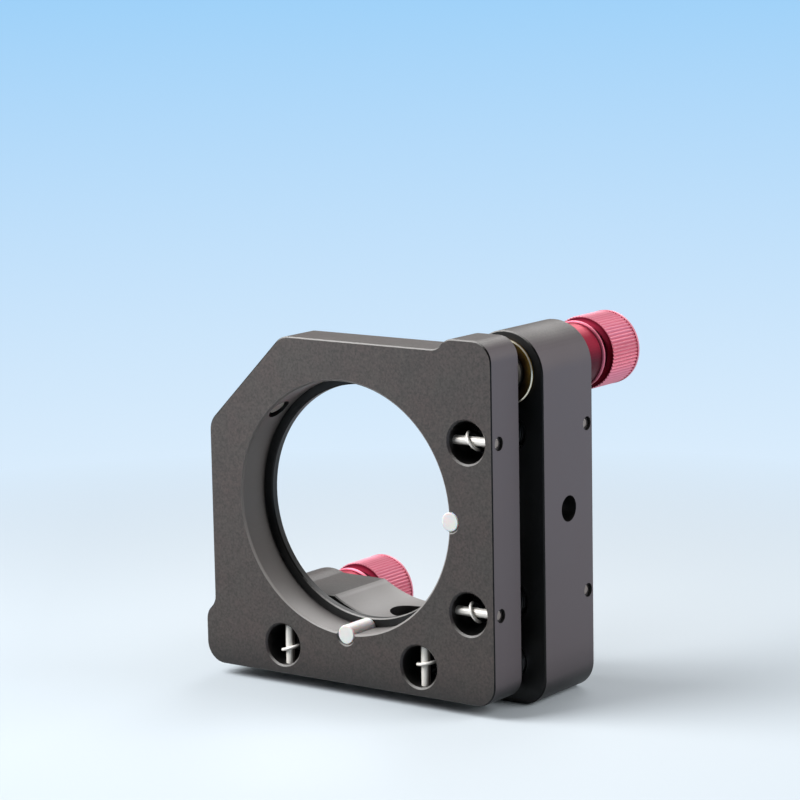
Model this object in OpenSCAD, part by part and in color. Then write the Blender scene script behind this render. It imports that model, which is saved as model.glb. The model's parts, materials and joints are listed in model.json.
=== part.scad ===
// Kinematic mirror mount: a front plate that holds a round optic tilts on a
// pivot ball and two fine adjuster screws in front of an L-shaped rear plate.
// +Z is up and the optic leaves towards -Y. The origin is the centre of the
// shoulder that the optic's back rests on.

/* [Optic seat] */
// Diameter of the round optic
optic_d = 40; // [38:0.5:42]
// Radial room between the optic and the seat wall
seat_room = 0.9; // [0.7:0.1:1.4]
// Depth of the seat, from the front face to the shoulder
seat_depth = 6.3; // [5.5:0.1:9]
// Thickness of the lip behind the shoulder
lip_t = 1.5; // [1:0.1:3]
// Radial width of the shoulder that the optic's back rests on
lip_w = 0.5; // [0.3:0.1:1.2]
// Diameter of the two plastic contact rods
rod_d = 3.2; // [2.4:0.1:3.6]
// Distance that the seated optic's axis stands off the seat's own axis, each way
optic_shift = 0.5; // [0.2:0.05:0.6]

/* [Plates] */
// Gap between the two plates
gap = 3.7; // [3.2:0.1:5]
// Thickness of the rear plate
rear_t = 14.6; // [12:0.2:20]
// Distance from the seat wall to the line of the pivot and the springs
line_off = 3.6; // [3.4:0.1:6]
// How much nearer the optic axis an adjuster stands than the pivot does
adjuster_in = 1.7; // [1:0.1:3]
// Material outside that line on the front plate
front_margin = 4.9; // [4.6:0.1:7]
// Step between the front plate's tabs and its set-back edges
tab_step = 1.9; // [1:0.1:2.4]
// Width of the tab beside the adjuster, from the line inwards
tab_in = 4.5; // [3.5:0.5:8]
// Leg of the large chamfer over the lock screw
chamfer = 15.5; // [13:0.5:17]
// Corner radius of the front plate
front_r = 3.5; // [2:0.5:4]
// Distance from that line to the rear plate's side face, and the radius at the end of each arm
arm_r = 7; // [6.4:0.1:8]
// Distance from an adjuster's axis to the end of its arm
arm_out = 6.7; // [6.4:0.1:8]
// Distance from the adjuster's axis to the arm's inner face
arm_in = 6.4; // [6.2:0.1:7]
// Radius of the rear plate's outer corner
rear_r = 4.6; // [3:0.2:6]
// Height of the small chamfer at the mouth of each hole
hole_edge = 0.3; // [0.2:0.05:0.5]

/* [Pivot and pads] */
// Diameter of the pivot ball
pivot_d = 5; // [4:0.5:5.5]
// Diameter of the ball at the tip of each adjuster
tip_d = 4; // [3:0.5:4.5]
// Height of the ball centres over the front plate's rear face
ball_rise = 1.1; // [0.9:0.1:1.4]
// Diameter of the hardened pads and seats
pad_d = 6.4; // [6:0.2:7]
// Length of the hardened pads and the front seat
pad_t = 3.2; // [2.8:0.2:4]
// Depth of the rear pivot seat in its plate
seat_sunk = 2.1; // [1.5:0.1:4]
// Clearance between a ball and its pad, seat or socket
ball_gap = 0.015; // [0.01:0.005:0.03]

/* [Adjusters] */
// Diameter of the adjuster screw
screw_d = 6; // [5:0.5:6]
// Outer diameter of the threaded bushing
bushing_d = 8.6; // [8:0.2:8.8]
// Diameter of the flange at the bushing's front end
flange_d = 10.8; // [9.6:0.2:11]
// Thickness of that flange, which stands out of the rear plate's front face
flange_t = 0.6; // [0.6:0.1:1.2]
// Length of the bushing's tail inside the knob's skirt
tail = 4; // [2:0.5:4.5]
// Radial running clearance of the screw in its bushing
thread_gap = 0.05; // [0.02:0.01:0.08]
// Diameter of the knob's grip
knob_d = 12.4; // [11.4:0.2:12.8]
// Length of the knob's grip
grip = 8.2; // [6:0.1:12]
// Number of teeth in the knurl
teeth = 64; // [40:1:72]
// Depth of the knurl
tooth_h = 0.22; // [0.14:0.02:0.4]
// Outer diameter of the knob's skirt
skirt_d = 10.6; // [10.4:0.1:11]
// Travel of an adjuster each way
travel = 1.64; // [0.8:0.02:1.64]

/* [Springs] */
// Distance from the optic axis to the springs far from the pivot
spring_far = 13.1; // [11:0.1:13.6]
// Distance from the optic axis to the springs near the pivot
spring_near = 14.6; // [13.6:0.1:15.5]
// Diameter of the spring holes
spring_hole_d = 6.9; // [6:0.1:7]
// Outer diameter of a spring's coil
coil_d = 5.4; // [4.8:0.1:5.6]
// Diameter of the spring wire
wire_d = 0.55; // [0.4:0.05:0.6]
// Mean diameter of the loop at each end of a spring
loop_d = 3.4; // [3:0.1:4]
// Diameter of the cross dowels
dowel_d = 1.5; // [1.2:0.1:1.6]
// Distance from the front face to the front dowels
front_dowel_in = 2; // [1.8:0.1:2.4]
// Distance from the back face to the rear dowels
rear_dowel_in = 1.7; // [1.5:0.1:2.2]

/* [Lock screw and post holes] */
// Diameter of the set screw that locks the optic
lock_d = 4; // [3:0.5:4]
// Distance from the front face to the lock screw's axis
lock_in = 2.6; // [2.4:0.1:3.2]
// Diameter of the lock screw's soft tip
tip_pin_d = 2.8; // [1.6:0.2:2.8]
// Depth of the resting tip below the seat wall
tip_rest = 0.4; // [0.2:0.1:0.8]
// Diameter of the post screw's clearance hole
post_d = 4.3; // [3.4:0.1:5.5]
// Diameter of the counterbore for the post screw's head
head_d = 7.6; // [6.5:0.1:8.6]
// Length of the clearance hole under the head
post_wall = 6; // [4:0.5:8]

/* [Hidden] */
$fn = 64;

over = 1;                 // how far a cutter runs past the face it opens
fit = 0.01;               // radial clearance of the pieces pressed or glued in place
lock_gap = 0.05;          // radial clearance of the lock screw in its thread
hex_share = 0.29;         // radius of a hex socket's corners, as a share of its screw's diameter

// The seat
seat_r = optic_d / 2 + seat_room;
lip_r = optic_d / 2 - lip_w;
rod_c = optic_d / 2 - optic_shift + rod_d / 2;
relief = 0.15;            // depth of the relief groove in the seat's inner corner
relief_w = 0.5;           // width of that groove
rod_in = 0.1;             // how far the rods stop short of the front face

// Positions along Y
front_y = -seat_depth;
front_back_y = lip_t;
rear_y = lip_t + gap;
back_y = rear_y + rear_t;
ball_y = front_back_y + ball_rise;
mid_y = (rear_y + back_y) / 2;
front_dowel_y = front_y + front_dowel_in;
rear_dowel_y = back_y - rear_dowel_in;

// Positions across the plates
line = seat_r + line_off;
dowel_hold = 1.4;         // how far a dowel reaches into the wall past its spring hole
dowel_x = line - spring_hole_d / 2 - dowel_hold;
dowel_sunk = 0.5;         // how far a dowel's end lies below the side face
dowel_mouth = 0.4;        // radial width of the recess round that end
adj = line - adjuster_in;
front_edge = line + front_margin;
set_back = front_edge - tab_step;
chamfer_end = set_back - chamfer;
rear_edge = line + arm_r;
arm_end = adj + arm_out;
arm_face = line - arm_in;
step_r = tab_step * 1.45; // radius at the foot and the shoulder of each step
arm_end_r = arm_in - 0.2; // radius at the inner end of each arm
arm_lap = 1.5;            // how far the arms' outline runs into the opening that cuts it
beam_room = 0.2;          // radial room that the rear plate's opening leaves round the seat
clear_r = seat_r + beam_room;

// Pads and seats
cone_r = pivot_d / 2 + ball_gap;
pad_y = front_back_y - pad_t;
flat_y = ball_y - tip_d / 2 - ball_gap;
flat_t = pad_t / 2;
rear_seat_rise = 1.1;     // height of the rear seat's front over the ball's centre
rear_seat_y = ball_y + rear_seat_rise;
rear_seat_end_y = rear_y + seat_sunk;

// Adjusters
flange_y = rear_y - flange_t;
dish_t = 1;               // depth of the dished front of the bushing
rim_w = 0.3;              // width of the flat rim round the dish
tail_y = back_y + tail;
skirt_gap = 0.36;         // gap left between skirt and plate with the screw all the way in
skirt_room = 0.3;         // radial room of the knob's bore round the bushing's tail
skirt_y = back_y + travel + skirt_gap;
bead_w = 0.8;             // width of the bead at the end of the skirt
bead_top = 0.3;           // width of its crest
bead_h = 0.35;            // height of the bead over the skirt
groove_w = 1.7;           // width of the groove between the bead and the grip
groove_t = 0.5;           // depth of that groove below the skirt
knob_edge = 0.3;          // chamfer at the knob's back
knob_rim = 0.4;           // plain rim behind the knurl
rim_step = 0.04;          // how far that rim stands out of the teeth
web_gap = 0.46;           // gap left between the knob's web and the bushing's tail there
web_y = tail_y + travel + web_gap;
bead_y = web_y + bead_w / 2;
grip_y = bead_y + groove_w;
knob_y = grip_y + grip;
rim_y = knob_y - knob_edge - knob_rim;
screw_in = 0.3;           // how far the screw's end lies inside the knob's back
screw_end_y = knob_y - screw_in;
nose_rise = 0.8;          // how far the nose starts behind the tip ball's centre
nose_y = ball_y + nose_rise;
nose_lap = 0.2;           // how far the full screw stands out of the rear plate
nose_end_y = rear_y - nose_lap;
nose_wall = 0.2;          // wall of the nose round the tip ball
nose_r = tip_d / 2 + nose_wall;
hex_r = screw_d * hex_share;
hex_t = 2.5;              // depth of the hex socket

// The lock screw, measured along its own axis from the optic's axis
lock_y = front_y + lock_in;
lock_tip_r = seat_r + tip_rest;
tip_pin_t = 1.6;          // length of the soft tip
lock_screw_r = lock_tip_r + tip_pin_t;
lock_out_r = (set_back + chamfer_end) / sqrt(2);
lock_sunk = 1;            // how far the screw's end lies below the large chamfer
lock_end_r = lock_out_r - lock_sunk;
lock_hex_r = lock_d * hex_share;
lock_hex_t = 2;           // depth of its hex socket

// Springs
loop_gap = 0.05;          // gap between a spring's loop and its dowel
coil_step = 1.8;          // pitch of the stretched coil, in wire diameters

// ---------------------------------------------------------------- helpers

function unit(v) = v / norm(v);
function cross2(a, b) = a[0] * b[1] - a[1] * b[0];
function wrap(p, i) = p[(i + len(p)) % len(p)];
// Unit vectors from corner i of an outline to its two neighbours
function to_last(p, i) = unit(wrap(p, i - 1) - p[i]);
function to_next(p, i) = unit(wrap(p, i + 1) - p[i]);
function half_angle(p, i) = acos(to_last(p, i) * to_next(p, i)) / 2;
function corner_turn(p, i) = cross2(to_next(p, i), to_last(p, i));
function tangent_len(p, r, i) = r[i] / tan(half_angle(p, i));
function arc_centre(p, r, i) =
    p[i] + unit(to_last(p, i) + to_next(p, i)) * r[i] / sin(half_angle(p, i));

// An outline, drawn anticlockwise, with the radius r[i] at its corner p[i]
module rounded(p, r) {
    last = len(p) - 1;
    ends = [for (i = [0:last], s = r[i] > 0 ? [0, 1] : [2])
        s == 0 ? p[i] + to_last(p, i) * tangent_len(p, r, i) :
        s == 1 ? p[i] + to_next(p, i) * tangent_len(p, r, i) : p[i]];
    difference() {
        union() {
            polygon(ends);
            for (i = [0:last])
                if (r[i] > 0 && corner_turn(p, i) > 0)
                    translate(arc_centre(p, r, i)) circle(r[i]);
        }
        for (i = [0:last])
            if (r[i] > 0 && corner_turn(p, i) < 0)
                translate(arc_centre(p, r, i)) circle(r[i]);
    }
}

// Extrudes an XZ outline from y0 to y1
module slab(y0, y1) {
    translate([0, y1, 0]) rotate([90, 0, 0]) linear_extrude(y1 - y0) children();
}

// A cylinder or cone along Y at (x, z)
module rod_y(x, z, y0, y1, r0, r1 = undef) {
    translate([x, y0, z]) rotate([-90, 0, 0])
        cylinder(h = y1 - y0, r1 = r0, r2 = is_undef(r1) ? r0 : r1);
}

// A cylinder along X at (y, z)
module rod_x(y, z, x0, x1, r) {
    translate([x0, y, z]) rotate([0, 90, 0]) cylinder(h = x1 - x0, r = r);
}

// A chamfered mouth at the -Y end of a hole
module mouth(x, z, y, r) {
    rod_y(x, z, y - over, y + hole_edge, r + hole_edge + over, r);
}

// The mount is the same on both sides of the diagonal through the pivot
module swap() {
    mirror([1, 0, 1]) children();
}
module both() {
    children();
    swap() children();
}

// Along the lock screw's axis, out of the seat at the upper left
module lock_axis() {
    translate([0, lock_y, 0]) rotate([0, -45, 0]) children();
}

// ------------------------------------------------------------ front plate

module front_outline() {
    e = front_edge;
    b = set_back;
    t0 = line - tab_in + tab_step / 2;
    t1 = t0 - tab_step;
    rounded(
        [[-e, -e], [e, -e], [e, e], [t0, e], [t1, b],
         [-chamfer_end, b], [-b, chamfer_end], [-b, -t1], [-e, -t0]],
        [front_r, front_r, front_r, step_r, step_r, front_r, front_r, step_r, step_r]);
}

// The holes that both plates have on each side: springs and cross dowels
module spring_holes(y0, y1) {
    for (z = [spring_far, -spring_near])
        rod_y(line, z, y0 - over, y1 + over, spring_hole_d / 2);
}
module dowel_holes(y, edge) {
    for (z = [spring_far, -spring_near]) {
        rod_x(y, z, dowel_x, edge, dowel_d / 2 + fit);
        rod_x(y, z, edge - dowel_sunk, edge + over, dowel_d / 2 + dowel_mouth);
    }
}

module seat_cut() {
    rod_y(0, 0, front_y - over, 0, seat_r);
    rod_y(0, 0, -relief_w, 0, seat_r + relief);
    rod_y(0, 0, -over, front_back_y + over, lip_r);
    mouth(0, 0, front_y, seat_r);
}
module rod_cut() {
    rod_y(rod_c, 0, front_y - over, 0, rod_d / 2 + fit);
    mouth(rod_c, 0, front_y, rod_d / 2 + fit);
}
module pad_cut(x, z, y0) {
    rod_y(x, z, y0, front_back_y + over, pad_d / 2 + fit);
}

module front_plate() {
    color("dimgray") difference() {
        slab(front_y, front_back_y) front_outline();
        seat_cut();
        both() {
            rod_cut();
            spring_holes(front_y, front_back_y);
            for (z = [spring_far, -spring_near])
                mouth(line, z, front_y, spring_hole_d / 2);
            dowel_holes(front_dowel_y, front_edge);
        }
        pad_cut(line, adj, pad_y);
        pad_cut(-adj, -line, flat_y - flat_t);
        pad_cut(line, -line, pad_y);
        lock_axis() translate([0, 0, seat_r - over])
            cylinder(h = lock_out_r - seat_r + 2 * over, r = lock_d / 2);
    }
}

module contact_rod() {
    color("white") rod_y(rod_c, 0, front_y + rod_in, 0, rod_d / 2);
}

module lock_tip() {
    color("ivory") lock_axis() translate([0, 0, lock_tip_r])
        cylinder(h = lock_screw_r - lock_tip_r - fit, r = tip_pin_d / 2);
}
module lock_screw() {
    color("silver") lock_axis() translate([0, 0, lock_screw_r]) difference() {
        cylinder(h = lock_end_r - lock_screw_r, r = lock_d / 2 - lock_gap);
        translate([0, 0, lock_end_r - lock_hex_t - lock_screw_r])
            cylinder(h = lock_hex_t + over, r = lock_hex_r, $fn = 6);
    }
}

// ---------------------------------------------------- pivot, pads and balls

// A 45 degree cone round a ball of radius r at the origin, wide end at the ball's centre
module ball_cone(r) {
    h = r * sqrt(2);
    rod_y(0, 0, -h, 0, 0, h);
}

module pivot_ball() {
    color("silver") translate([line, ball_y, -line]) sphere(r = pivot_d / 2);
}
module pivot_seat_front() {
    color("silver") difference() {
        rod_y(line, -line, pad_y, front_back_y, pad_d / 2);
        translate([line, ball_y, -line]) ball_cone(cone_r);
    }
}
module pivot_seat_rear() {
    color("silver") difference() {
        rod_y(line, -line, rear_seat_y, rear_seat_end_y, pad_d / 2);
        translate([line, ball_y, -line]) mirror([0, 1, 0]) ball_cone(cone_r);
    }
}
// The groove runs along Z, so that it points at the pivot
module groove_pad() {
    side = tip_d + 2 * ball_gap;
    color("silver") difference() {
        rod_y(line, adj, pad_y, front_back_y, pad_d / 2);
        translate([line, ball_y, adj]) rotate([0, 0, 45])
            cube([side, side, pad_d + 2 * over], center = true);
    }
}
module flat_pad() {
    color("silver") rod_y(-adj, -line, flat_y - flat_t, flat_y, pad_d / 2);
}

// ------------------------------------------------------------- rear plate

module rear_outline() {
    near = arm_face;
    inner = sqrt(clear_r * clear_r - near * near) - arm_lap;
    difference() {
        rounded(
            [[-arm_end, -rear_edge], [rear_edge, -rear_edge], [rear_edge, arm_end],
             [near, arm_end], [near, inner], [-inner, -near], [-arm_end, -near]],
            [arm_r, rear_r, arm_r, arm_end_r, 0, 0, arm_end_r]);
        circle(clear_r, $fn = 128);
    }
}

// The post screw's hole, with the counterbore for its head on the inside
module post_hole() {
    rod_x(mid_y, 0, rear_edge - post_wall - over, rear_edge + over, post_d / 2);
    rod_x(mid_y, 0, clear_r - 2 * over, rear_edge - post_wall, head_d / 2);
}

module rear_plate() {
    color("dimgray") difference() {
        slab(rear_y, back_y) rear_outline();
        both() {
            rod_y(line, adj, rear_y - over, back_y + over, bushing_d / 2 + fit);
            spring_holes(rear_y, back_y);
            dowel_holes(rear_dowel_y, rear_edge);
            post_hole();
        }
        rod_y(line, -line, rear_y - over, rear_seat_end_y, pad_d / 2 + fit);
    }
}

// --------------------------------------------------------------- adjusters

// The flange takes the springs' pull, and its dished front leaves a narrow rim
module bushing() {
    color("goldenrod") difference() {
        union() {
            rod_y(line, adj, flange_y, rear_y, flange_d / 2);
            rod_y(line, adj, flange_y, tail_y, bushing_d / 2);
        }
        rod_y(line, adj, flange_y - over, tail_y + over, screw_d / 2 + thread_gap);
        rod_y(line, adj, flange_y, flange_y + dish_t, flange_d / 2 - rim_w, screw_d / 2);
    }
}

module adjuster_screw() {
    color("silver") difference() {
        union() {
            rod_y(line, adj, nose_y, nose_end_y + over, nose_r);
            rod_y(line, adj, nose_end_y, screw_end_y, screw_d / 2);
        }
        translate([line, ball_y, adj]) sphere(r = tip_d / 2 + ball_gap);
        translate([line, screw_end_y - hex_t, adj]) rotate([-90, 0, 0])
            cylinder(h = hex_t + over, r = hex_r, $fn = 6);
    }
}

module tip_ball() {
    color("silver") translate([line, ball_y, adj]) sphere(r = tip_d / 2);
}

// Straight knurl: one tooth per step round the grip
module knurl(r, n, h) {
    polygon([for (i = [0:2 * n - 1]) let (q = r - (i % 2) * h)
        [q * cos(180 * i / n), q * sin(180 * i / n)]]);
}
module knob() {
    skirt_r = skirt_d / 2;
    bead_r = skirt_r + bead_h;
    grip_r = knob_d / 2;
    color("palevioletred") difference() {
        union() {
            rod_y(line, adj, skirt_y, web_y, skirt_r);
            rod_y(line, adj, bead_y - bead_w, web_y - bead_top / 2, skirt_r, bead_r);
            rod_y(line, adj, web_y - bead_top / 2, web_y + bead_top / 2, bead_r);
            rod_y(line, adj, web_y + bead_top / 2, bead_y, bead_r, skirt_r);
            rod_y(line, adj, web_y, grip_y + over, skirt_r - groove_t);
            translate([line, rim_y, adj]) rotate([90, 0, 0])
                linear_extrude(rim_y - grip_y) knurl(grip_r - rim_step, teeth, tooth_h);
            rod_y(line, adj, rim_y, knob_y - knob_edge, grip_r);
            rod_y(line, adj, knob_y - knob_edge, knob_y, grip_r, grip_r - knob_edge);
        }
        rod_y(line, adj, skirt_y - over, web_y, bushing_d / 2 + skirt_room);
        rod_y(line, adj, web_y - over, knob_y + over, screw_d / 2 + fit);
    }
}

// ----------------------------------------------------- springs and dowels

module dowel(y, edge, z) {
    color("silver") rod_x(y, z, dowel_x, edge - dowel_sunk, dowel_d / 2);
}

// An extension spring: an open coil with a crossed-over loop round the dowel at each end
module spring(z) {
    wire_r = wire_d / 2;
    loop_r = loop_d / 2;
    coil_r = coil_d / 2 - wire_r;
    reach = dowel_d / 2 + wire_r + loop_gap;
    loops = [front_dowel_y - reach + loop_r, rear_dowel_y + reach - loop_r];
    coil_0 = loops[0] + loop_r;
    coil_1 = loops[1] - loop_r;
    turns = round((coil_1 - coil_0) / (wire_d * coil_step));
    pitch = (coil_1 - coil_0) / turns;
    color("silver") translate([line, 0, z]) {
        translate([0, coil_0, 0]) rotate([-90, 0, 0]) rotate_extrude() {
            translate([coil_r - wire_r / 2, 0]) square([wire_r, coil_1 - coil_0]);
            for (i = [0:turns]) translate([coil_r, i * pitch]) circle(wire_r, $fn = 16);
        }
        for (c = loops) translate([0, c, 0]) rotate([0, 90, 0])
            rotate_extrude() translate([loop_r, 0]) circle(wire_r, $fn = 16);
        for (c = [coil_0, coil_1]) translate([0, c, 0]) cylinder(h = coil_r, r = wire_r * 0.9);
    }
}

// ------------------------------------------------------------------ nodes

front_plate();
contact_rod();  // contact_rod_side
swap() contact_rod();  // contact_rod_base
lock_screw();
lock_tip();
groove_pad();
flat_pad();
pivot_seat_front();
pivot_ball();
dowel(front_dowel_y, front_edge, spring_far);  // front_dowel_side_far
dowel(front_dowel_y, front_edge, -spring_near);  // front_dowel_side_near
swap() dowel(front_dowel_y, front_edge, spring_far);  // front_dowel_base_far
swap() dowel(front_dowel_y, front_edge, -spring_near);  // front_dowel_base_near
rear_plate();
pivot_seat_rear();
bushing();  // bushing_upper
swap() bushing();  // bushing_lower
dowel(rear_dowel_y, rear_edge, spring_far);  // rear_dowel_side_far
dowel(rear_dowel_y, rear_edge, -spring_near);  // rear_dowel_side_near
swap() dowel(rear_dowel_y, rear_edge, spring_far);  // rear_dowel_base_far
swap() dowel(rear_dowel_y, rear_edge, -spring_near);  // rear_dowel_base_near
spring(spring_far);  // spring_side_far
spring(-spring_near);  // spring_side_near
swap() spring(spring_far);  // spring_base_far
swap() spring(-spring_near);  // spring_base_near
adjuster_screw();  // screw_upper
swap() adjuster_screw();  // screw_lower
tip_ball();  // tip_ball_upper
swap() tip_ball();  // tip_ball_lower
knob();  // knob_upper
swap() knob();  // knob_lower
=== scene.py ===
"""Kinematic mirror mount: finishes, broken edges, wound springs, floor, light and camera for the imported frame."""

import json
import math

import bpy
from mathutils import Matrix, Vector


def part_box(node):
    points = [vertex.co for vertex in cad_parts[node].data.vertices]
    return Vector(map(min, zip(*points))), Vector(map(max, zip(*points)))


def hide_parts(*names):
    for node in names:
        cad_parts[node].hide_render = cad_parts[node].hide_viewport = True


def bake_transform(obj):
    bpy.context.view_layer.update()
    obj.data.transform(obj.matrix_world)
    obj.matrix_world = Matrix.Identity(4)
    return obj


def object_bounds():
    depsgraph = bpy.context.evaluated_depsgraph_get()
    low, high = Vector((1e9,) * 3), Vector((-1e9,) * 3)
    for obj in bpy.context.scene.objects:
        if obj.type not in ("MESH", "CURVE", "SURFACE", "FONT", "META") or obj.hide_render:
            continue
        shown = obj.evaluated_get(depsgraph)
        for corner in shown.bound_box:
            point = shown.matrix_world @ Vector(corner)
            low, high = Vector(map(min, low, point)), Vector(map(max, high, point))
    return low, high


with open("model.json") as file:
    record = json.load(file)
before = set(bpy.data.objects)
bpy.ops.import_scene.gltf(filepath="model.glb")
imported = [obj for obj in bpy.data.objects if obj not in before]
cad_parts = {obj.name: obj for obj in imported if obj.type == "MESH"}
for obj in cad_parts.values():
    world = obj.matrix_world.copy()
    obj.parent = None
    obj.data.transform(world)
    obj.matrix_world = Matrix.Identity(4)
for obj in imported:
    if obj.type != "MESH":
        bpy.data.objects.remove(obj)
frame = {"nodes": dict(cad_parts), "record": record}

cad_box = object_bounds()
nodes = frame["nodes"]

MM = 0.001
SEAT_R = 20.9 * MM                # radius of the optic's seat
GAP_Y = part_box("rear_plate")[0][1]  # the rear plate's front face
OFF = (0, 0, 0, 1)                # no colour


# ---------------------------------------------------------------- materials

FRONT = (0, -1, 0)
UP = (0, 0, 1)
MIDDLE = (0.3, 0.7)               # most of a noise's values lie between these
COVER_SAMPLES = 6                 # rays that each look for cover takes
FINE_BUMP = 0.0005 * MM           # depth of the marks on a ground or cut face
METAL_GRAIN = 1.5 * MM
# painted shade on a spring's coil sets in over COIL_FRONT and fades out over COIL_REAR
COIL_FRONT = (-4.9 * MM, -3.9 * MM)  # along Y, a spring's loops end and its coil begins between these
COIL_REAR = (17.8 * MM, 18.8 * MM)


def srgb(r, g, b):
    """Linear colour from 8-bit sRGB values, as a shader socket wants it."""
    def channel(c):
        c = c / 255
        return c / 12.92 if c <= 0.04045 else ((c + 0.055) / 1.055) ** 2.4
    return (channel(r), channel(g), channel(b), 1.0)


class Finish:
    """A node material: a Principled shader with helpers for noise, blends, roughness and bump."""

    def __init__(self, name, metallic=0.0, specular=0.5):
        self.material = bpy.data.materials.new(name)
        self.material.use_nodes = True
        self.tree = self.material.node_tree
        self.shader = self.tree.nodes["Principled BSDF"]
        self.shader.inputs["Metallic"].default_value = metallic
        self.shader.inputs["Specular IOR Level"].default_value = specular
        self.place = self.tree.nodes.new("ShaderNodeTexCoord").outputs["Object"]

    def node(self, kind, values, **settings):
        """A node with these settings, whose inputs are numbers, colours or other nodes' outputs."""
        node = self.tree.nodes.new(kind)
        for name, value in settings.items():
            setattr(node, name, value)
        for key, value in values.items():
            if isinstance(value, bpy.types.NodeSocket):
                self.tree.links.new(value, node.inputs[key])
            else:
                node.inputs[key].default_value = value
        return node

    def noise(self, size):
        """Noise with features of about this size in metres."""
        return self.node("ShaderNodeTexNoise", {"Vector": self.place, "Scale": 1 / size}).outputs["Fac"]

    def remap(self, value, low, high, start=MIDDLE[0], end=MIDDLE[1]):
        """Value from start to end becomes low to high."""
        values = {"Value": value, "From Min": start, "From Max": end, "To Min": low, "To Max": high}
        return self.node("ShaderNodeMapRange", values).outputs["Result"]

    def rises(self, value, start, end):
        """0 up to start and 1 from end."""
        return self.remap(value, 0, 1, start, end)

    def falls(self, value, start, end):
        """1 up to start and 0 from end."""
        return self.remap(value, 1, 0, start, end)

    def mix(self, factor, a, b):
        """Colour a where factor is 0 and b where it is 1."""
        return self.node("ShaderNodeMix", {0: factor, 6: a, 7: b}, data_type="RGBA").outputs[2]

    def facing(self, way, start=0.85, end=0.97):
        """0 to 1 as a surface turns to face this way: the cosine between them goes from start to end."""
        normal = self.tree.nodes.new("ShaderNodeNewGeometry").outputs["True Normal"]
        return self.rises(self.along(normal, way), start, end)

    def openness(self, reach, start, end):
        """0 deep in a hole or gap and 1 in the open. What stands within reach metres counts as cover."""
        cover = self.node("ShaderNodeAmbientOcclusion", {"Distance": reach}, samples=COVER_SAMPLES)
        return self.rises(cover.outputs["AO"], start, end)

    def along(self, vector, way):
        """How far a vector goes this way."""
        return self.node("ShaderNodeVectorMath", {0: vector, 1: way}, operation="DOT_PRODUCT").outputs["Value"]

    def length(self, vector):
        return self.node("ShaderNodeVectorMath", {0: vector}, operation="LENGTH").outputs["Value"]

    def radius(self, x=0.0, z=0.0):
        """Distance from a line along Y at this x and z."""
        offset = self.node("ShaderNodeVectorMath", {0: self.place, 1: (x, 0, z)}, operation="SUBTRACT")
        values = {0: offset.outputs["Vector"], 1: (1, 0, 1)}
        return self.length(self.node("ShaderNodeVectorMath", values, operation="MULTIPLY").outputs["Vector"])

    def depth(self):
        """Place along Y."""
        return self.node("ShaderNodeSeparateXYZ", {0: self.place}).outputs["Y"]

    def calc(self, operation, a, b):
        return self.node("ShaderNodeMath", {0: a, 1: b}, operation=operation).outputs["Value"]

    def times(self, a, b):
        return self.calc("MULTIPLY", a, b)

    def larger(self, a, b):
        return self.calc("MAXIMUM", a, b)

    def finish(self, colour, rough, height, depth):
        """Links the colour and roughness, and a bump of this depth in metres."""
        bump = self.node("ShaderNodeBump", {"Height": height, "Distance": depth})
        for output, name in ((colour, "Base Color"), (rough, "Roughness"), (bump.outputs["Normal"], "Normal")):
            self.tree.links.new(output, self.shader.inputs[name])
        return self.material


def black_anodised():
    """Bead-blasted and black anodised: speckled, smoother from milling at the +X side, cut on a lathe round the
    optic's axis, and with painted light and shade: a lighter purple painted sheen on the +X side, a light grey
    painted reflection on the seat wall, painted highlights on up-facing chamfers, and painted shade, near black, on
    the seat's lip, on the rear plate's front face in the gap and deep in holes and gaps.
    """
    coat = Finish("black_anodised")
    grain = coat.noise(0.36 * MM)
    cloud = coat.noise(9 * MM)
    radius = coat.radius()
    # the +X side: smoother from milling, and painted lighter and purple as a painted sheen
    side = coat.facing((1, 0, 0), 0.5, 0.85)

    # painted highlight: chamfers that face up, away from the seat's rim, are painted light grey
    bevel = coat.times(coat.facing(FRONT, 0.55, 0.65), coat.facing(FRONT, 0.85, 0.75))
    off_seat = coat.rises(radius, SEAT_R + 0.14 * MM, SEAT_R + 0.2 * MM)
    edge_highlight = coat.times(coat.times(bevel, coat.facing(UP, 0.3, 0.6)), off_seat)
    # the seat wall, cut on a lathe round the optic's axis: its bump is finer, and it is painted light grey as a
    # painted reflection
    turned_sheen = coat.falls(radius, SEAT_R + 0.25 * MM, SEAT_R + 0.35 * MM)
    # painted shade: the lip and shoulder within the seat are painted near black
    lip = coat.falls(radius, SEAT_R - 0.15 * MM, SEAT_R - 0.05 * MM)
    # painted shade: the rear plate's front face, in the gap behind the front plate, is painted near black
    gap = coat.times(coat.facing(FRONT), coat.rises(coat.depth(), GAP_Y - 0.1 * MM, GAP_Y))

    tint = coat.mix(coat.rises(coat.noise(5 * MM), *MIDDLE), srgb(72, 67, 63), srgb(77, 66, 63))
    blasted = coat.mix(coat.rises(grain, *MIDDLE), srgb(50, 45, 42), tint)
    # painted sheen: the +X side's colour is lighter and more purple than the blasted face
    milled_sheen = coat.mix(cloud, srgb(88, 80, 85), srgb(94, 86, 91))
    colour = coat.mix(side, blasted, milled_sheen)
    for share, paint in ((turned_sheen, srgb(136, 132, 130)), (lip, srgb(16, 15, 15)), (edge_highlight, srgb(140, 138, 136)),
                         (gap, srgb(3, 3, 3))):
        colour = coat.mix(share, colour, paint)
    # painted shade: the coat goes near black deep in holes and gaps
    colour = coat.mix(coat.openness(9 * MM, 0.55, 0.95), srgb(3, 3, 3), colour)
    height = coat.times(grain, coat.remap(coat.larger(side, turned_sheen), 1.0, 0.2, 0, 1))
    return coat.finish(colour, coat.remap(cloud, 0.42, 0.5), height, 0.015 * MM)


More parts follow.
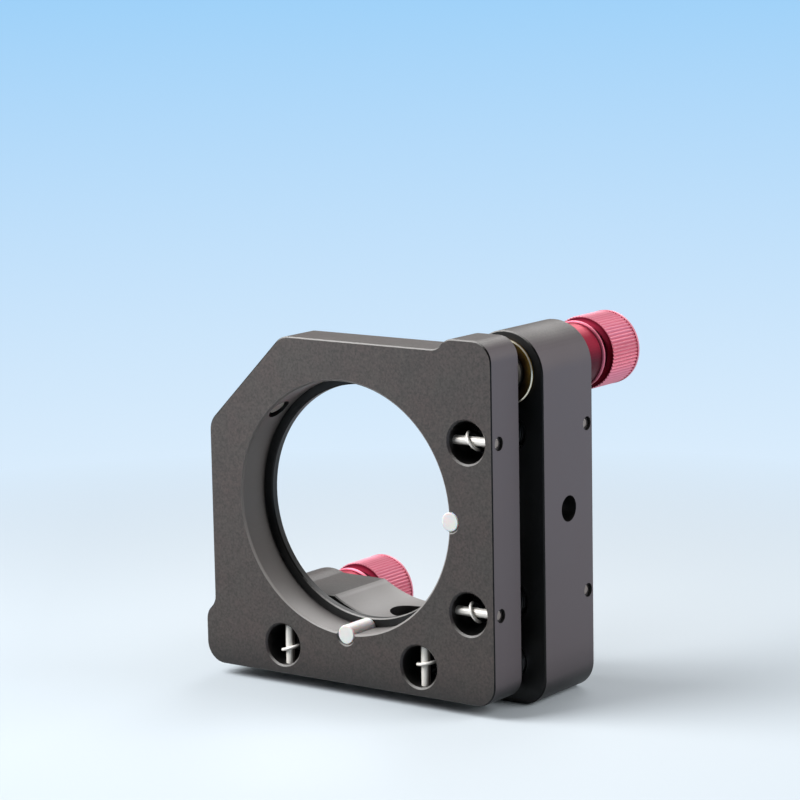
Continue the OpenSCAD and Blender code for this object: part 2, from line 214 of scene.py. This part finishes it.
def cut_edge():
    """The plates' small chamfers, cut after blasting: black, with a painted highlight, light grey, where they face
    up.
    """
    coat = Finish("black_anodised_edge", specular=0.2)
    grain = coat.noise(0.4 * MM)
    black = coat.mix(coat.noise(3 * MM), srgb(10, 10, 10), srgb(16, 16, 16))
    # painted highlight where the chamfer faces up
    colour = coat.mix(coat.facing(UP, 0.5, 0.8), black, srgb(176, 174, 172))
    return coat.finish(colour, coat.remap(grain, 0.3, 0.4), grain, FINE_BUMP)


def pink_anodised(name):
    """A knob's pink anodised aluminium, with painted light and shade: painted shade on the skirt and in the groove,
    where they face away from up and deep in recesses; the bead and the knurl painted pale as painted light, with
    painted highlights on the crests; the grip's front face painted darker outward as painted shadow.
    """
    low, high = (Vector(corner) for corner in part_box(name))
    middle = (low + high) / 2
    grip_r = (high.x - low.x) / 2
    coat = Finish("pink_anodised_" + name, metallic=0.6, specular=0.2)
    radius = coat.radius(middle.x, middle.z)
    fine = coat.noise(0.4 * MM)
    crest = coat.rises(radius, grip_r - 0.25 * MM, grip_r - 0.06 * MM)
    raised = coat.larger(coat.rises(radius, grip_r - 0.87 * MM, grip_r - 0.6 * MM), coat.facing((0, 1, 0)))
    front = coat.times(coat.facing(FRONT), coat.falls(radius, grip_r - 0.3 * MM, grip_r - 0.24 * MM))
    front = coat.times(front, coat.falls(coat.depth(), high.y - 2 * MM, high.y - 1.5 * MM))

    dye_and_shade = coat.mix(coat.noise(3 * MM), srgb(184, 34, 66), srgb(192, 42, 74))
    # painted shade: darker where the surface faces away from up
    dye_and_shade = coat.mix(coat.facing(UP, -0.1, 0.95), srgb(84, 0, 24), dye_and_shade)
    # painted shade: darker deep in recesses
    dye_and_shade = coat.mix(coat.openness(10 * MM, 0.7, 1.0), srgb(50, 0, 18), dye_and_shade)
    # painted light: the bead, the knurl and the knob's back are paler than the dye, with painted highlights on the
    # crests and painted shade in the valleys
    knurl = coat.mix(crest, srgb(218, 116, 138), srgb(234, 148, 166))
    # painted shadow: the grip's front face is darker towards its outside and lighter towards the groove
    outward = coat.rises(radius, grip_r - 1.0 * MM, grip_r - 0.4 * MM)
    face = coat.mix(outward, srgb(190, 56, 86), srgb(112, 14, 40))
    colour = coat.mix(front, coat.mix(raised, dye_and_shade, knurl), face)
    return coat.finish(colour, coat.remap(fine, 0.4, 0.46), fine, 0.001 * MM)


def bare_metal(name, dark, light, low, high, metallic=1.0, reach=0.0, shade=(0.006, 0.006, 0.006, 1)):
    """Ground or drawn metal with a light grain. Where something covers it within reach, it is painted in the shade
    colour, as painted shade.
    """
    metal = Finish(name, metallic=metallic)
    fine = metal.noise(METAL_GRAIN)
    colour = metal.mix(fine, dark, light)
    if reach:
        # painted shade deep in recesses
        colour = metal.mix(metal.openness(reach, 0.35, 0.6), shade, colour)
    return metal.finish(colour, metal.remap(fine, low, high), fine, FINE_BUMP)


def spring_wire():
    """Bright drawn wire: the loops stay bright, and the coil down in its hole is painted dark, as painted shade."""
    wire = Finish("spring_wire", metallic=0.2)
    fine = wire.noise(METAL_GRAIN)
    depth = wire.depth()
    # painted shade: dark on the coil, between the loops
    coil_shade = wire.times(wire.rises(depth, *COIL_FRONT), wire.falls(depth, *COIL_REAR))
    bright = wire.mix(fine, srgb(246, 243, 237), srgb(252, 250, 245))
    return wire.finish(wire.mix(coil_shade, bright, srgb(24, 25, 26)), wire.remap(fine, 0.4, 0.46), fine, FINE_BUMP)


def dowel_steel():
    """Ground dowel pins; their ends that face +X or down are painted grey, as painted shade."""
    pin = Finish("dowel_steel", metallic=0.3)
    fine = pin.noise(METAL_GRAIN)
    ground = pin.mix(fine, srgb(238, 234, 227), srgb(246, 242, 236))
    # painted shade on the ends that face +X or down
    ends = pin.larger(pin.facing((1, 0, 0)), pin.facing((0, 0, -1), 0.99, 0.999))
    return pin.finish(pin.mix(ends, ground, srgb(150, 142, 138)), pin.remap(fine, 0.42, 0.5), fine, FINE_BUMP)


def plastic(name, dark, light, low, high):
    """Turned plastic, slightly uneven in colour and gloss, that lets some light through."""
    body = Finish(name)
    body.shader.inputs["Subsurface Weight"].default_value = 0.4
    body.shader.inputs["Subsurface Scale"].default_value = 1.5 * MM
    fine = body.noise(0.3 * MM)
    return body.finish(body.mix(body.noise(2 * MM), dark, light), body.remap(fine, low, high), fine, 0.003 * MM)


FINISHES = {
    "black_anodised": black_anodised(),
    # brass and steel are painted darker deep in recesses, as painted shade
    "brass": bare_metal("brass", srgb(172, 136, 56), srgb(182, 146, 66), 0.34, 0.4,
                        metallic=0.8, reach=7 * MM, shade=srgb(36, 16, 6)),
    "steel": bare_metal("steel", srgb(222, 216, 206), srgb(232, 226, 217), 0.42, 0.5, metallic=0.4, reach=4 * MM),
    "spring_wire": spring_wire(),
    "hardened_steel": bare_metal("hardened_steel", srgb(196, 196, 198), srgb(210, 210, 212), 0.12, 0.18),
    "white_plastic": plastic("white_plastic", srgb(232, 232, 231), srgb(242, 242, 241), 0.32, 0.42),
    "nylon": plastic("nylon", srgb(222, 218, 214), srgb(230, 226, 222), 0.5, 0.6),
}
EDGE = cut_edge()
DOWEL = dowel_steel()
# the bushings' cut chamfer, brighter than the brass and painted near white as a painted highlight
RIM = bare_metal("brass_rim_highlight", srgb(246, 238, 214), srgb(252, 246, 226), 0.2, 0.26, metallic=0.6)

for part in frame["record"]["subparts"]:
    name, slot = part["node"], part["material_slot"]
    materials = nodes[name].data.materials
    materials.clear()
    if slot == "pink_anodised":
        materials.append(pink_anodised(name))
    else:
        materials.append(DOWEL if "_dowel_" in name else FINISHES[slot])


# -------------------------------------------------------------------- edges

def node_group(name, kinds):
    """A geometry node group that runs the mesh through these nodes one after another."""
    group = bpy.data.node_groups.new(name, "GeometryNodeTree")
    group.is_modifier = True
    for way in ("INPUT", "OUTPUT"):
        group.interface.new_socket("Geometry", in_out=way, socket_type="NodeSocketGeometry")
    last = group.nodes.new("NodeGroupInput").outputs[0]
    for kind, values in kinds:
        node = group.nodes.new(kind)
        for key, value in values.items():
            node.inputs[key].default_value = value
        socket = node.inputs.get("Geometry") or node.inputs.get("Mesh")
        group.links.new(last, socket)
        last = node.outputs[0]
    group.links.new(last, group.nodes.new("NodeGroupOutput").inputs[0])
    return group


def smooth_by_angle(limit):
    """A geometry node group that shades smooth across edges flatter than this many degrees."""
    group = node_group("smooth_by_angle", [("GeometryNodeSetShadeSmooth", {"Shade Smooth": True}),
                                           ("GeometryNodeSetShadeSmooth", {"Shade Smooth": False})])
    edges = [node for node in group.nodes if node.bl_idname == "GeometryNodeSetShadeSmooth"][1]
    edges.domain = "EDGE"
    angle = group.nodes.new("GeometryNodeInputMeshEdgeAngle")
    steep = group.nodes.new("FunctionNodeCompare")
    steep.operation = "GREATER_THAN"
    group.links.new(angle.outputs["Unsigned Angle"], steep.inputs["A"])
    steep.inputs["B"].default_value = math.radians(limit)
    group.links.new(steep.outputs["Result"], edges.inputs["Selection"])
    return group


WELD_WITHIN = 0.002 * MM
FLAT_WITHIN = math.radians(0.3)   # faces that meet flatter than this become one
SHARP = math.radians(40)          # edges sharper than this are chamfered
RIM_SHARP = math.radians(60)      # and on the plates, outward ones sharper than this
LEVEL_WITHIN = 0.005 * MM
FREE_NORMALS = node_group("free_normals", [("GeometryNodeRemoveAttribute", {"Name": "custom_normal"})])
SMOOTH = smooth_by_angle(30)


def mark_rims(levels):
    """A geometry node group that picks the edges to chamfer: outward corners that lie at one of these Y levels."""
    group = node_group("mark_rims", [("GeometryNodeStoreNamedAttribute", {"Name": "bevel_weight_edge"})])
    store = next(node for node in group.nodes if node.bl_idname == "GeometryNodeStoreNamedAttribute")
    store.domain = "EDGE"

    def math_node(operation, *values):
        node = group.nodes.new("ShaderNodeMath")
        node.operation = operation
        for index, value in enumerate(values):
            if isinstance(value, bpy.types.NodeSocket):
                group.links.new(value, node.inputs[index])
            else:
                node.inputs[index].default_value = value
        return node.outputs["Value"]

    def height(position):
        split = group.nodes.new("ShaderNodeSeparateXYZ")
        group.links.new(position, split.inputs["Vector"])
        return split.outputs["Y"]

    ends = group.nodes.new("GeometryNodeInputMeshEdgeVertices")
    angle = group.nodes.new("GeometryNodeInputMeshEdgeAngle").outputs["Signed Angle"]
    first, second = (height(ends.outputs[name]) for name in ("Position 1", "Position 2"))
    flat = math_node("COMPARE", first, second, LEVEL_WITHIN)
    picked = math_node("MULTIPLY", math_node("GREATER_THAN", angle, RIM_SHARP), flat)
    at_level = 0.0
    for level in levels:
        at_level = math_node("ADD", at_level, math_node("COMPARE", first, level, LEVEL_WITHIN))
    group.links.new(math_node("MULTIPLY", picked, at_level), store.inputs["Value"])
    return group


def break_edges(name, width, material=None, levels=()):
    """A small chamfer on a CAD node's sharp edges, or only on its rims at some levels along Y.

    Its flat faces are merged first, so that the chamfer runs true. The chamfer can have its own material.
    """
    obj = nodes[name]
    obj.modifiers.new("free_normals", "NODES").node_group = FREE_NORMALS
    weld = obj.modifiers.new("weld", "WELD")
    weld.merge_threshold = WELD_WITHIN
    merge = obj.modifiers.new("merge_flats", "DECIMATE")
    merge.decimate_type = "DISSOLVE"
    merge.angle_limit = FLAT_WITHIN
    if levels:
        obj.modifiers.new("rims", "NODES").node_group = mark_rims(levels)
    edge = obj.modifiers.new("edges", "BEVEL")
    edge.width = width
    edge.segments = 1
    edge.limit_method = "WEIGHT" if levels else "ANGLE"
    edge.angle_limit = SHARP
    edge.use_clamp_overlap = not levels
    if material:
        obj.data.materials.append(material)
        edge.material = len(obj.data.materials) - 1
    obj.modifiers.new("smooth", "NODES").node_group = SMOOTH
    even = obj.modifiers.new("even_normals", "WEIGHTED_NORMAL")
    even.keep_sharp = True


SHOULDER_Y = 0.0                  # the optic's back rests here
PLATE_CHAMFER = 0.2 * MM
ROD_CHAMFER = 0.15 * MM
RIM_CHAMFER = 0.16 * MM
PIN_CHAMFER = 0.12 * MM

for name in ("front_plate", "rear_plate"):
    low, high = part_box(name)
    break_edges(name, PLATE_CHAMFER, EDGE, (low[1], high[1], SHOULDER_Y))
for name in ("contact_rod_side", "contact_rod_base"):
    break_edges(name, ROD_CHAMFER)
for name in ("bushing_upper", "bushing_lower"):
    break_edges(name, RIM_CHAMFER, RIM)
for name in nodes:
    if "_dowel_" in name:
        break_edges(name, PIN_CHAMFER)


# ------------------------------------------------------------------ springs

WIRE_R = 0.275 * MM
WIRE_SIDES = 10
LOOP_R = 1.7 * MM
LOOP_OPENS = 300                  # degrees of wire round a dowel before its free end
LOOP_STEPS = 14
LOOP_GAP = 0.1 * MM               # between a loop and the coil's first turn
TURNS = 22
HALF_STEPS = 175                  # points in half the coil, about 16 in a turn
RUN_IN = 190                      # degrees in which the last turn comes in to the loop
RUN_IN_BEND = 0.8                 # below 1 it leaves the axis fast and reaches the coil softly


def tube(name, points, radius, sides):
    """A round wire along a list of points, closed at both ends."""
    across = Vector((1, 0, 0))
    verts, faces = [], []
    last = len(points) - 1
    for i, point in enumerate(points):
        ahead = (points[min(i + 1, last)] - points[max(i - 1, 0)]).normalized()
        across = (across - ahead * across.dot(ahead)).normalized()
        third = ahead.cross(across)
        for k in range(sides):
            turn = 2 * math.pi * k / sides
            verts.append(point + radius * (math.cos(turn) * across + math.sin(turn) * third))
    for i in range(last):
        for k in range(sides):
            a = i * sides + k
            b = i * sides + (k + 1) % sides
            faces.append((a, b, b + sides, a + sides))
    faces.append(tuple(reversed(range(sides))))
    faces.append(tuple(last * sides + k for k in range(sides)))
    mesh = bpy.data.meshes.new(name)
    mesh.from_pydata([tuple(v) for v in verts], [], faces)
    mesh.update()
    mesh.shade_smooth()
    obj = bpy.data.objects.new(name, mesh)
    bpy.context.scene.collection.objects.link(obj)
    return obj


def smooth_path(points, steps):
    """Catmull-Rom curve through the points."""
    path = []
    last = len(points) - 1
    for i in range(last):
        a, b, c, d = (points[min(max(i + k, 0), last)] for k in (-1, 0, 1, 2))
        for s in range(steps):
            t = s / steps
            path.append(0.5 * ((2 * b) + (c - a) * t + (2 * a - 5 * b + 4 * c - d) * t * t
                               + (3 * b - a - 3 * c + d) * t * t * t))
    path.append(points[-1])
    return path


def swap(point):
    """The mount's own mirror: across the diagonal through the pivot."""
    return Vector((-point.z, point.y, -point.x))


def loop_end(centre_y, way, lean, shift):
    """Points of one loop, from its free end round the dowel to the coil. way is +1 where the coil lies at +Y."""
    across = Vector((math.sin(lean), 0, math.cos(lean)))
    along = Vector((0, way, 0))
    centre = Vector((shift, centre_y, 0))
    points = []
    for i in range(LOOP_STEPS + 1):
        angle = math.radians(LOOP_OPENS * (1 - i / LOOP_STEPS))
        points.append(centre + LOOP_R * (math.sin(angle) * across + math.cos(angle) * along))
    return points


def half_coil(start_y, end_y, coil_r, lean, hand):
    """Points of half the coil, from the axis to the spring's middle. hand is the turn's sense seen along +Y."""
    start = math.atan2(-math.cos(lean), -math.sin(lean))
    sweep = math.radians(RUN_IN)
    points = []
    for i in range(1, HALF_STEPS + 1):
        angle = math.pi * TURNS * i / HALF_STEPS
        turn = start + hand * angle
        radius = coil_r * min(1, (angle / sweep) ** RUN_IN_BEND)
        y = start_y + (end_y - start_y) * i / HALF_STEPS
        points.append(Vector((radius * math.cos(turn), y, radius * math.sin(turn))))
    return points


def wound_spring(name, side, lean_front, lean_rear, shift):
    """A wound extension spring in a CAD spring's place, with a crossed-over loop round each dowel."""
    low, high = (Vector(corner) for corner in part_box(name))
    centre = (low + high) / 2
    if side == "base":
        centre = swap(centre)
    coil_r = min(high.x - low.x, high.z - low.z) / 2 - WIRE_R
    front_y = low.y + WIRE_R + LOOP_R
    rear_y = high.y - WIRE_R - LOOP_R
    start_y = front_y + LOOP_R + LOOP_GAP
    end_y = rear_y - LOOP_R - LOOP_GAP
    middle_y = (start_y + end_y) / 2
    front = loop_end(front_y, 1, lean_front, shift) + half_coil(start_y, middle_y, coil_r, lean_front, 1)
    rear = loop_end(rear_y, -1, lean_rear, shift) + half_coil(end_y, middle_y, coil_r, lean_rear, -1)
    points = smooth_path(front + rear[::-1][1:], 2)
    centre.y = 0
    points = [swap(point + centre) if side == "base" else point + centre for point in points]
    wire = tube(name + "_wire", points, WIRE_R, WIRE_SIDES)
    wire.data.materials.append(FINISHES["spring_wire"])
    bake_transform(wire)
    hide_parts(name)


# where it is, the lean of its loops in degrees, and how far they stand off the coil's axis in mm
for side, place, lean, shift in (("side", "far", -35, 0), ("side", "near", -25, 0),
                                 ("base", "far", 18, 0.9), ("base", "near", 12, -0.25)):
    wound_spring(f"spring_{side}_{place}", side, math.radians(lean), math.radians(-lean), shift * MM)


# --------------------------------------------------- floor, light and camera

GROUND = cad_box[0].z
FLOOR_R = 30.0                    # its edge stays out of the picture
CENTRE = (cad_box[0] + cad_box[1]) / 2

floor_mesh = bpy.data.meshes.new("floor")
corners = [(FLOOR_R * x, FLOOR_R * y, GROUND) for x, y in ((-1, -1), (1, -1), (1, 1), (-1, 1))]
floor_mesh.from_pydata(corners, [], [(0, 1, 2, 3)])
floor = bpy.data.objects.new("floor", floor_mesh)
bpy.context.scene.collection.objects.link(floor)

NEAR_COLOUR = srgb(238, 247, 254)  # what the camera sees, pale at the mount and blue far off
FAR_COLOUR = srgb(158, 209, 249)
HALF_WAY = 0.5                    # metres at which it is half far
NEAR_PAINT = srgb(203, 211, 217)  # what the lamps light near the mount, a little deeper at the left
SIDE_PAINT = srgb(186, 195, 202)
LEFT = (-0.81, -0.58, 0)
BOUNCE = srgb(90, 90, 90)         # what the mount gets back from the floor

paint = Finish("floor_paint", specular=0.0)
reach = paint.length(paint.place)
inverse = paint.calc("DIVIDE", HALF_WAY, paint.calc("ADD", reach, HALF_WAY))
colour = paint.mix(paint.falls(inverse, 0.12, 0.95), NEAR_COLOUR, FAR_COLOUR)
rays = paint.tree.nodes.new("ShaderNodeLightPath").outputs
seen = paint.larger(paint.larger(rays["Is Camera Ray"], rays["Is Glossy Ray"]), rays["Is Transmission Ray"])
far = paint.times(seen, paint.rises(reach, 0.04, 0.22))
near = paint.mix(paint.rises(paint.along(paint.place, LEFT), 0.0, 0.06), NEAR_PAINT, SIDE_PAINT)
lit = paint.mix(far, near, OFF)
paint.finish(paint.mix(seen, BOUNCE, lit), paint.remap(paint.noise(0.02), 0.6, 0.7), paint.noise(0.002), 0.0)
paint.tree.links.new(colour, paint.shader.inputs["Emission Color"])
paint.tree.links.new(far, paint.shader.inputs["Emission Strength"])
floor_mesh.materials.append(paint.material)

world = bpy.data.worlds.new("studio")
bpy.context.scene.world = world
world.use_nodes = True
sky = world.node_tree.nodes["Background"]
way = world.node_tree.nodes.new("ShaderNodeTexCoord").outputs["Generated"]
split = world.node_tree.nodes.new("ShaderNodeSeparateXYZ")
world.node_tree.links.new(way, split.inputs["Vector"])
ramp = world.node_tree.nodes.new("ShaderNodeMapRange")
ramp.interpolation_type = "SMOOTHSTEP"
# dim in front of the mount, so that the gap stays black, and brighter behind it
for name, value in (("From Min", -0.2), ("From Max", 0.7), ("To Min", 0.05), ("To Max", 0.48)):
    ramp.inputs[name].default_value = value
world.node_tree.links.new(split.outputs["Y"], ramp.inputs["Value"])
world.node_tree.links.new(ramp.outputs["Result"], sky.inputs["Strength"])
sky.inputs["Color"].default_value = (1, 1, 1, 1)


def lamp(name, kind, way, power, size, distance=0.65):
    """A soft lamp that looks at the mount from this way. Size is in metres, or in degrees for a sun."""
    data = bpy.data.lights.new(name, kind)
    data.energy = power
    if kind == "SUN":
        data.angle = math.radians(size)
    else:
        data.size = size
    obj = bpy.data.objects.new(name, data)
    away = Vector(way).normalized()
    obj.location = CENTRE + away * distance
    obj.rotation_mode = "QUATERNION"
    obj.rotation_quaternion = (-away).to_track_quat("-Z", "Y")
    bpy.context.scene.collection.objects.link(obj)


lamp("key", "AREA", (-0.5, -0.6, 0.7), power=1.55, size=0.22, distance=0.33)
lamp("left", "AREA", (-0.75, -0.6, 0.35), power=0.25, size=0.18, distance=0.27)
lamp("side", "AREA", (0.85, 0.3, 0.45), power=0.7, size=0.2, distance=0.34)
lamp("back", "SUN", (-0.25, 0.8, 0.5), power=0.7, size=30)

# the camera, fitted to the photograph's outlines
RIGHT = (0.81095, 0.58482, -0.01852)
DOWN = (0.08289, -0.14616, -0.98578)
FORWARD = (-0.57921, 0.79789, -0.16701)
EYE = (0.28992, -0.38931, 0.09906)
SENSOR_MM = 36
LENS_MM = 135.77

camera_data = bpy.data.cameras.new("camera")
camera_data.sensor_width = SENSOR_MM
camera_data.lens = LENS_MM
camera_data.clip_start = 0.01
camera_data.clip_end = 100
camera = bpy.data.objects.new("camera", camera_data)
rows = [(r, -d, -f, e) for r, d, f, e in zip(RIGHT, DOWN, FORWARD, EYE)]
camera.matrix_world = Matrix(rows + [(0, 0, 0, 1)])
bpy.context.scene.collection.objects.link(camera)
bpy.context.scene.camera = camera
bpy.context.scene.view_settings.view_transform = "Standard"
